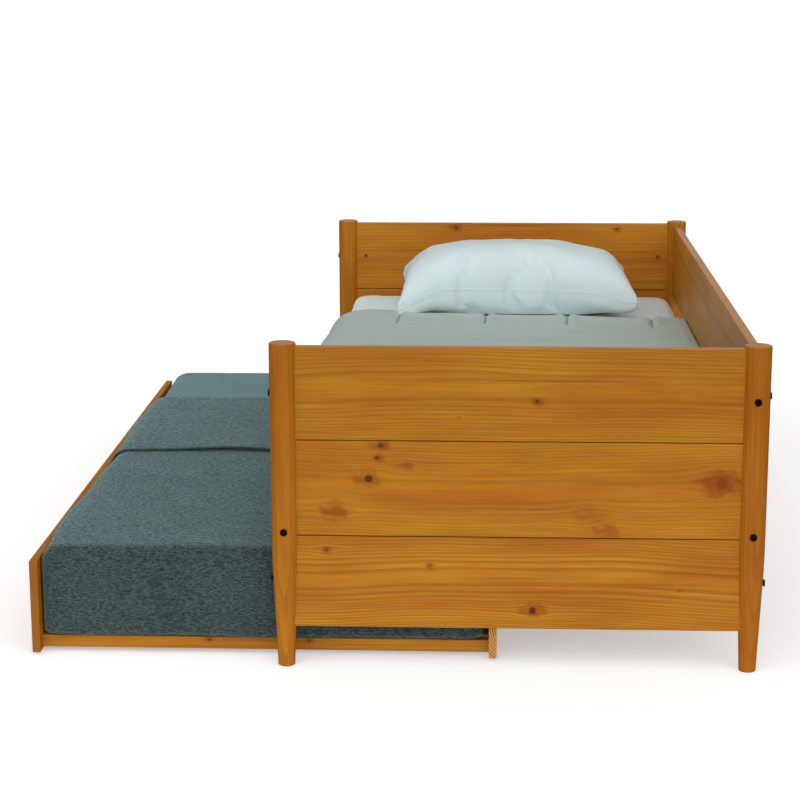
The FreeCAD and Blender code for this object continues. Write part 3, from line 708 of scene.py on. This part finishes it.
def piping_ring(block, side):
    """Points of the piping round the mattress, just outside the flat of the cover."""
    flat = block.corner - block.edge + block.edge * math.pi / 2 + 0.006
    lengths = (block.half.x - block.corner, block.half.y - block.corner)
    ring = []
    for quarter, (sx, sy) in enumerate(((1, 1), (-1, 1), (-1, -1), (1, -1))):
        for step in range(7):
            angle = math.pi / 2 * (quarter + step / 6)
            big = max(abs(math.cos(angle)), abs(math.sin(angle)))
            point, _ = block.wrap(sx * lengths[0] + flat * math.cos(angle) / big,
                                  sy * lengths[1] + flat * math.sin(angle) / big, -0.0024)
            ring.append((point.x, point.y, block.middle.z + side * (point.z - block.middle.z)))
    return ring


def make_mattress(name, node, body, fabric, border):
    """A closed pad from two covers that meet half way down, its sides swelling a little, with a
    piped border round each edge."""
    block = Block(node, MATTRESS_CORNER, MATTRESS_EDGE)
    columns, rows = 71, 121
    top = grid_object(name, columns, rows, mattress_half(block, 1))
    bottom = grid_object("under", columns, rows, mattress_half(block, -1))
    shell = bmesh.new()
    shell.from_mesh(top.data)
    shell.from_mesh(bottom.data)
    bmesh.ops.remove_doubles(shell, verts=shell.verts, dist=0.0002)
    bmesh.ops.recalc_face_normals(shell, faces=shell.faces)
    for face in shell.faces:
        face.smooth = True
    shell.to_mesh(top.data)
    shell.free()
    bpy.data.objects.remove(bottom)
    dress(top, fabric, "ticking", body, node)
    for label, side in (("top", 1), ("bottom", -1)):
        dress(tube(f"{name}_{label}_piping", piping_ring(block, side), PIPING_R), border, "ticking", body)


# Fitted sheets

FITTED_HEM = 0.012          # the hem's height above the mattress's bottom edge
FITTED_THICK = 0.0008
SHEET_RISE = 0.0015         # the sheet's upper face above the mattress


def make_fitted_sheet(name, node, body, slot, block, creases, fabric):
    """An elastic sheet pulled over a mattress: taut on top, gathered at the corners and the hem."""
    reach_x, reach_y = block.reach(block.low.z + FITTED_HEM)

    def place(u, v):
        flat_x, flat_y = (2 * u - 1) * reach_x, (2 * v - 1) * reach_y
        point, normal = block.wrap(flat_x, flat_y, 0.0012)
        down = smooth_step(block.high.z - point.z, 0.03, 0.16)
        corner = bell(abs(flat_x) - block.half.x, 0, 0.16) * bell(abs(flat_y) - block.half.y, 0, 0.16)
        fold = 0.0012 * down * ripple(point.x * 38, point.y * 38, 2.0)
        fold += 0.0016 * corner * ripple((point.x + point.y) * 30, (point.x - point.y) * 9, point.z * 8)
        fold += creases(point.x, point.y) * max(normal.z, 0.0)
        return point + normal * max(fold, -0.0003)

    sheet = grid_object(name, 121, 201, place)
    thicken(sheet, FITTED_THICK)
    dress(sheet, fabric, slot, body, node)


# Quilt

QUILT_LOFT = 0.011
QUILT_GRID = (230, 190)
QUILT_FOLD_GAP = 0.016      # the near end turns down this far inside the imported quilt's end
QUILT_FOLD_ROUND = 0.020
QUILT_TUCK = 0.12           # and goes down this much further


def quilt_hem(x):
    """How far the quilt's pillow end reaches at x: it lies a little askew."""
    pulled = sum(bell(x, tack, 0.016) for tack in QUILT_TACKS)
    return 0.574 - 0.085 * x + 0.046 * bell(x, -0.145, 0.07) - 0.010 * pulled


def tack_at(tack, y):
    """Where along X a tack's stitches run at y."""
    return tack + TACK_SLANT * (y - TACK_PIVOT_Y)


def quilt_section(mattress, top, low):
    """The quilt across the bed, from its tucked back edge over the top and down outside the front
    rail, as even points (x, z)."""
    left, right = mattress.low.x, mattress.high.x
    outside = RAIL_LOW.x
    return curve_through([
        (right + 0.0075, low + 0.08), (right + 0.0090, top - 0.075), (right + 0.0112, top - 0.028),
        (right + 0.0112, top - 0.006), (right + 0.0030, top + 0.003), (right - 0.050, top + 0.004),
        (right - 0.20, top + 0.004), (BED_X, top + 0.005), (left + 0.20, top + 0.005),
        (left + 0.060, top + 0.003), (left + 0.012, top - 0.001), (left - 0.012, top - 0.010),
        (left - 0.032, top - 0.028), (left - 0.048, top - 0.056), (outside - 0.027, top - 0.095),
        (outside - 0.0285, top - 0.135), (outside - 0.0225, top - 0.17),
        (outside - 0.0175, low + 0.008)], QUILT_GRID[0])


def quilt_puff(x, y, from_hem, from_fold):
    """How far the filling stands out: ripples across the bed that gather at the tacks, down to a
    thin hem."""
    puff = 0.0030 * ripple(x * 1.6, y * 17, 3.0) + 0.0018 * ripple(x * 4.0, y * 40, 9.0)
    puff += 0.0035 * ripple(x * 3.0, y * 3.2, 6.0)
    short, long = QUILT_TACK_LONG - 0.02, QUILT_TACK_LONG + 0.02
    ends = max(1 - smooth_step(from_hem, short, long), 1 - smooth_step(from_fold, short, long))
    for tack in QUILT_TACKS:
        line = tack_at(tack, y)
        puff += ends * (0.0042 * bell(x, line + 0.017, 0.014) + 0.0032 * bell(x, line - 0.022, 0.02)
                        - 0.0100 * bell(x, line, 0.0052))
    edge = smooth_step(from_hem, 0.0, 0.020)
    puff = puff * (0.35 + 0.65 * edge) - 0.0045 * (1 - edge) ** 2
    return puff + 0.0034 * bell(from_hem, 0.045, 0.035) * (1 + ripple(x * 6, 8.0))


def make_quilt(fabric, mattress, sheet_top):
    """A filled quilt: tucked in at the back and the near end, hanging outside the front rail."""
    node_low, node_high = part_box("bed_quilt")
    left, right = mattress.low.x, mattress.high.x
    section = quilt_section(mattress, sheet_top + QUILT_LOFT, node_low.z)
    slope = np.gradient(section, axis=0)
    near, hem = node_low.y, node_high.y
    fold_at = near + QUILT_FOLD_GAP
    flat_long = hem - fold_at + QUILT_FOLD_ROUND * math.pi / 2 + QUILT_TUCK
    last = len(section) - 1

    def place(u, v):
        index = u * last
        low = min(int(index), last - 1)
        share = index - low
        x, z = section[low] * (1 - share) + section[low + 1] * share
        sx, sz = slope[low] * (1 - share) + slope[low + 1] * share
        out = Vector((-sz, 0, sx)).normalized() * -1
        y = hem - v * flat_long
        # the part that hangs outside the rail ends at the near end, where the rest tucks in
        hanging = smooth_step(left + 0.02 - x, 0.0, 0.05)
        if hanging > 0:
            y = hem - v * (hem - near - 0.012) * hanging - v * flat_long * (1 - hanging)
        from_hem = hem - y
        flat = smooth_step(out.z, 0.4, 0.95)
        y += (quilt_hem(max(x, left)) - hem) * (1 - smooth_step(from_hem, 0.0, 0.6))
        spread = 0.018 * smooth_step(-y, -0.55, -0.10) * smooth_step(y, -0.85, -0.45)
        spread -= 0.010 * smooth_step(-y, 0.70, 0.92)
        spread *= smooth_step(left + 0.02 - x, 0.0, 0.04)
        x -= spread * smooth_step(z, node_low.z + 0.01, node_low.z + 0.14)
        puff = quilt_puff(x, y, from_hem, y - fold_at)
        point = Vector((x, y, z))
        if y < fold_at and hanging < 1:
            past = fold_at - y
            turn = min(past / QUILT_FOLD_ROUND, math.pi / 2)
            fall = QUILT_FOLD_ROUND * (1 - math.cos(turn)) + max(past - QUILT_FOLD_ROUND * math.pi / 2, 0)
            fall *= 1 - hanging
            point.y = fold_at - QUILT_FOLD_ROUND * math.sin(turn) * (1 - hanging) - past * hanging
            point.z = z - fall * smooth_step(z, 0.30, 0.48)
            out = (out * math.cos(turn) + Vector((0, -1, 0)) * math.sin(turn)).normalized()
            puff *= 0.4
        side = smooth_step(-out.x, 0.5, 0.95)
        puff = puff * (1 - 0.45 * side) + side * 0.0030 * ripple(y * 6, z * 3, 4.0)
        if x > right - 0.01:
            puff = min(puff, 0.0) * 0.3
        return point + out * max(puff, -0.0085 if flat > 0.5 else -0.003)

    quilt = grid_object("sage_quilt", *QUILT_GRID, place)
    thicken(quilt, QUILT_LOFT * 0.8)
    dress(quilt, fabric, "sage_cotton", "bed", "bed_quilt")


# Pillow

PILLOW_CASE = (0.760, 0.460)      # the case laid flat
PILLOW_CELL = 0.0115
PILLOW_GAP = 0.02                 # between the case's two layers before it is blown up
PILLOW_PRESSURE = 6.0
PILLOW_FRAMES = 26
PILLOW_CORNERS = ((-0.064, 0.525), (0.632, 0.512), (0.615, 0.868), (-0.058, 0.872))
PILLOW_TIP_LIFT = (0.028, 0.058, 0.085, 0.085)    # the corners' height above the sheet
PILLOW_SEAM = 0.40                # the seam's share of the pillow's height
PILLOW_SEAM_R = 0.0013
PILLOW_CLEAR = 0.002              # between the sheet and the pillow


def inflate(thing, pressure, frames):
    """Blow a closed cloth up, with no gravity, and keep the result."""
    cloth = thing.modifiers.new("cloth", "CLOTH")
    choices = dict(quality=6, mass=0.15, tension_stiffness=25, compression_stiffness=25,
                   shear_stiffness=12, bending_stiffness=0.4, air_damping=2, use_pressure=True,
                   uniform_pressure_force=pressure)
    for key, value in choices.items():
        setattr(cloth.settings, key, value)
    cloth.settings.effector_weights.gravity = 0
    cloth.collision_settings.use_collision = False
    for number in range(1, frames + 1):
        bpy.context.scene.frame_set(number)
    apply_modifiers(thing)
    bpy.context.scene.frame_set(1)


def flat_case(name, wide, long, cell, gap):
    """Two layers of cloth joined round their edge, the numbers of the lower layer's edge points, and
    how many points a layer has."""
    across, along = round(wide / cell), round(long / cell)
    shell = bmesh.new()
    layers = []
    for z in (-gap / 2, gap / 2):
        layers.append([[shell.verts.new(((i / across - 0.5) * wide, (j / along - 0.5) * long, z))
                        for i in range(across + 1)] for j in range(along + 1)])
    under, over = layers
    for j in range(along):
        for i in range(across):
            shell.faces.new((under[j][i], under[j + 1][i], under[j + 1][i + 1], under[j][i + 1]))
            shell.faces.new((over[j][i], over[j][i + 1], over[j + 1][i + 1], over[j + 1][i]))
    rim = [(0, i) for i in range(across)] + [(j, across) for j in range(along)]
    rim += [(along, i) for i in range(across, 0, -1)] + [(j, 0) for j in range(along, 0, -1)]
    for (j, i), (l, k) in zip(rim, rim[1:] + rim[:1]):
        shell.faces.new((under[j][i], under[l][k], over[l][k], over[j][i]))
    mesh = bpy.data.meshes.new(name)
    shell.to_mesh(mesh)
    shell.free()
    mesh.polygons.foreach_set("use_smooth", [True] * len(mesh.polygons))
    edge_points = [j * (across + 1) + i for j, i in rim]
    return link(name, mesh), edge_points, (along + 1) * (across + 1)


def between_corners(corners, s, t):
    """Blend four corner values, given round the case from the near front one."""
    return (corners[0] * (1 - s) * (1 - t) + corners[1] * s * (1 - t) + corners[2] * s * t
            + corners[3] * (1 - s) * t)


def settle_case(case, sheet_top, high):
    """Lay the blown case on the bed: its corners in their places, its underside flat on the sheet
    and its crest at the height high."""
    points = np.array([vert.co[:] for vert in case.data.vertices])
    half_x, half_y = np.abs(points[:, 0]).max(), np.abs(points[:, 1]).max()
    thick = points[:, 2].max() - points[:, 2].min()
    squeeze = (high - sheet_top) / thick
    corners = [Vector(c) for c in PILLOW_CORNERS]
    placed = []
    for x, y, z in points:
        s, t = (x / half_x + 1) / 2, (y / half_y + 1) / 2
        flat = between_corners(corners, s, t)
        tip = between_corners(PILLOW_TIP_LIFT, s, t)
        near_tip = smooth_step(abs(2 * s - 1), 0.55, 1.0) * smooth_step(abs(2 * t - 1), 0.4, 1.0)
        seam = PILLOW_SEAM * (high - sheet_top)
        middle = seam * (1 - near_tip) + tip * near_tip
        level = abs(z) / thick * 2
        fuller = thick / 2 * math.copysign(level ** (0.78 if z > 0 else 0.62), z)
        height = middle + fuller * squeeze * (1.24 if z > 0 else 0.95)
        height += 0.011 * bell(s, 0.22, 0.13) * bell(t, 0.55, 0.3) * smooth_step(z, 0, thick / 4)
        if height < 0.004:
            height = 0.004 + 0.02 * (height - 0.004)
        placed.append((flat.x, flat.y, sheet_top + max(height, 0.0015)))
    top = max(point[2] for point in placed)
    fit = (high - 0.001 - sheet_top) / (top - sheet_top)
    for vert, point in zip(case.data.vertices, placed):
        vert.co = (point[0], point[1], sheet_top + (point[2] - sheet_top) * fit)
    case.data.update()


def crease_case(case, sheet_top, high):
    """Puckers along the seam and soft hollows elsewhere, none where the pillow rests."""
    seam_height = sheet_top + PILLOW_SEAM * (high - sheet_top)
    for vert in case.data.vertices:
        at = vert.co.copy()
        pucker = 0.0024 * ripple(at.x * 48 + at.z * 30, at.y * 6, at.z * 7) * bell(at.z, seam_height, 0.05)
        soft = 0.0040 * ripple(at.x * 7, at.y * 8, at.z * 9)
        soft += 0.0022 * ripple(at.x * 24, at.y * 15, at.z * 19)
        vert.co = at + vert.normal * (pucker + soft) * smooth_step(at.z, sheet_top + 0.002, sheet_top + 0.03)
    case.data.update()


def make_pillow(fabric, sheet_top):
    """A stuffed pillow in a plain case: blown up as cloth, then settled on the bed."""
    wide, long = PILLOW_CASE
    case, rim, layer = flat_case("feather_pillow", wide, long, PILLOW_CELL, PILLOW_GAP)
    inflate(case, PILLOW_PRESSURE, PILLOW_FRAMES)
    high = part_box("pillow")[1].z
    settle_case(case, sheet_top, high)
    crease_case(case, sheet_top, high)
    seam_line = [(case.data.vertices[i].co + case.data.vertices[i + layer].co) / 2 for i in rim]
    finer = case.modifiers.new("finer", "SUBSURF")
    finer.levels = finer.render_levels = 1
    apply_modifiers(case)
    dress(case, fabric, "white_cotton", "bed", "pillow")
    seam = tube("pillow_seam", [tuple(point) for point in seam_line], PILLOW_SEAM_R)
    dress(seam, fabric, "white_cotton", "bed")


# Blanket

BLANKET_THICK = 0.0034
BLANKET_CORNER = 0.034      # its radius in plan
BLANKET_LIFT = 0.0062       # the outer face of the lower layer, above the mattress
BLANKET_TURN = 0.0052       # the turned-back layer lies this much higher
BLANKET_ENDS = (-0.068, 0.565)      # Y of the turned-back edge and of the fold
BLANKET_GAP = (-0.48, 0.11)         # X of the middle and the width of the gap under that edge
# how far it spills over the front board's top edge, at places along Y
BLANKET_SPILL = ((-0.95, 0.006), (-0.86, 0.012), (-0.70, 0.022), (-0.59, 0.022), (-0.45, 0.012),
                 (-0.28, 0.012), (-0.02, 0.003), (0.27, 0.012), (0.56, 0.005))


def make_blanket(fabric, block):
    """One knitted blanket: tucked down all round, its far end turned back over itself. Along the
    front it spills a little over the trundle's front board."""
    node_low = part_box("trundle_blanket")[0]
    reach_x, reach_y = block.reach(node_low.z + 0.003)
    lip_y, fold_y = BLANKET_ENDS
    mid_y = block.middle.y
    lower_long = fold_y - mid_y + reach_y
    bend = BLANKET_TURN / 2 * math.pi
    total = lower_long + bend + fold_y - lip_y
    spill_y, spill_x = zip(*BLANKET_SPILL)

    def place(u, v):
        flat_x = (2 * u - 1) * reach_x
        along = v * total
        past = along - lower_long
        upper = past > bend / 2
        if past <= 0:
            flat_y, lift = along - reach_y, BLANKET_LIFT
        elif past <= bend:
            angle = past / bend * math.pi
            flat_y = fold_y - mid_y + BLANKET_TURN / 2 * math.sin(angle)
            lift = BLANKET_LIFT + BLANKET_TURN / 2 * (1 - math.cos(angle))
        else:
            flat_y, lift = fold_y - mid_y - (past - bend), BLANKET_LIFT + BLANKET_TURN
        point, normal = block.wrap(flat_x, flat_y, 0.0)
        x, y = point.x, point.y
        wave = 0.0013 * ripple(x * 3.2, y * 4.5, 1.0) + 0.0008 * ripple(x * 9 + y * 5, y * 12, 5.0)
        gap = bell(x, *BLANKET_GAP) * smooth_step(normal.z, 0.5, 0.95)
        if upper:
            lift += 0.0050 * bell(y, lip_y, 0.10) * gap
            y += (0.004 * math.sin(x * 9) + 0.004 * ripple(x * 14, 3.0)) * bell(y, lip_y, 0.08)
            lift -= 0.0016 * bell(y, lip_y, 0.02) * (1 - gap)
        else:
            wave -= 0.0016 * gap * bell(y, lip_y - 0.012, 0.03)
        hang = smooth_step(block.high.z - point.z, 0.012, 0.05)
        soft = 0.0022 * ripple(x * 5.5, y * 4.0, point.z * 5)
        soft += 0.0010 * ripple(x * 17, y * 12, point.z * 7)
        point = Vector((x, y, point.z)) + normal * (lift + wave * (1 - hang) + soft * hang)
        front = smooth_step(-normal.x, 0.15, 0.7)
        above = smooth_step(point.z, TRUNDLE_EDGE.z + 0.0045, TRUNDLE_EDGE.z + 0.010)
        spill = float(np.interp(y, spill_y, spill_x))
        room = max(point.x - (TRUNDLE_EDGE.x + 0.0022), 0.0)
        inside = min(0.003 + 0.008 * bell(y, -0.95, 0.12), room)
        point.x -= front * (above * spill + (1 - above) * inside)
        point.z += 0.003 * bell(point.z, node_low.z, 0.02) * ripple(x * 6, y * 6, 4.0)
        return point

    blanket = grid_object("heather_blanket", 151, 261, place)
    thicken(blanket, BLANKET_THICK)
    dress(blanket, fabric, "teal_knit", "trundle", "trundle_blanket")


def white_creases(x, y):
    """The white sheet is rumpled round the pillow."""
    return (0.0045 * ripple(x * 5 + y * 3, y * 9, 2.0) * smooth_step(y, 0.5, 0.7)
            + 0.0016 * ripple(x * 9 + y * 5, y * 16, 7.0))


def teal_creases(x, y):
    """The teal sheet is nearly smooth."""
    return 0.0009 * ripple(x * 2, y * 14, 2.0) + 0.0007 * ripple(x * 8 - y * 5, y * 12, 7.0)


def make_bedding():
    """Mattresses, then what lies on them from the sheets up."""
    plain = cotton("border_cotton", BORDER_WHITE)
    tick = ticking("ticking")
    make_mattress("bed_mattress_pad", "bed_mattress", "bed", tick, plain)
    make_mattress("trundle_mattress_pad", "trundle_mattress", "trundle", tick, plain)

    bed = Block("bed_mattress", MATTRESS_CORNER, MATTRESS_EDGE,
                lambda x, y: 0.003 * smooth_step(y, 0.55, 0.85))
    trundle = Block("trundle_mattress", MATTRESS_CORNER, MATTRESS_EDGE,
                    lambda x, y: 0.012 * smooth_step(y, 0.66, 0.88))
    make_fitted_sheet("white_fitted_sheet", "bed_sheet", "bed", "white_cotton", bed,
                      white_creases, cotton("white_cotton", WHITE))
    make_fitted_sheet("teal_fitted_sheet", "trundle_sheet", "trundle", "teal_cotton", trundle,
                      teal_creases, cotton("teal_cotton", TEAL, crease=0.35))
    sheet_top = bed.high.z + SHEET_RISE
    make_quilt(cotton("sage_cotton", SAGE, period=0.0013, crease=0.45, stitches=QUILT_TACKS), bed, sheet_top)
    make_pillow(cotton("pillow_cotton", PILLOW_WHITE, crease=0.35), sheet_top + PILLOW_CLEAR)
    make_blanket(heather("heather_knit", KNIT_YARNS, KNIT_BLOOM),
                 Block("trundle_mattress", BLANKET_CORNER, MATTRESS_EDGE))


def main():
    make_camera()
    make_studio()
    paint_wood()
    paint_hardware()
    make_bedding()


main()
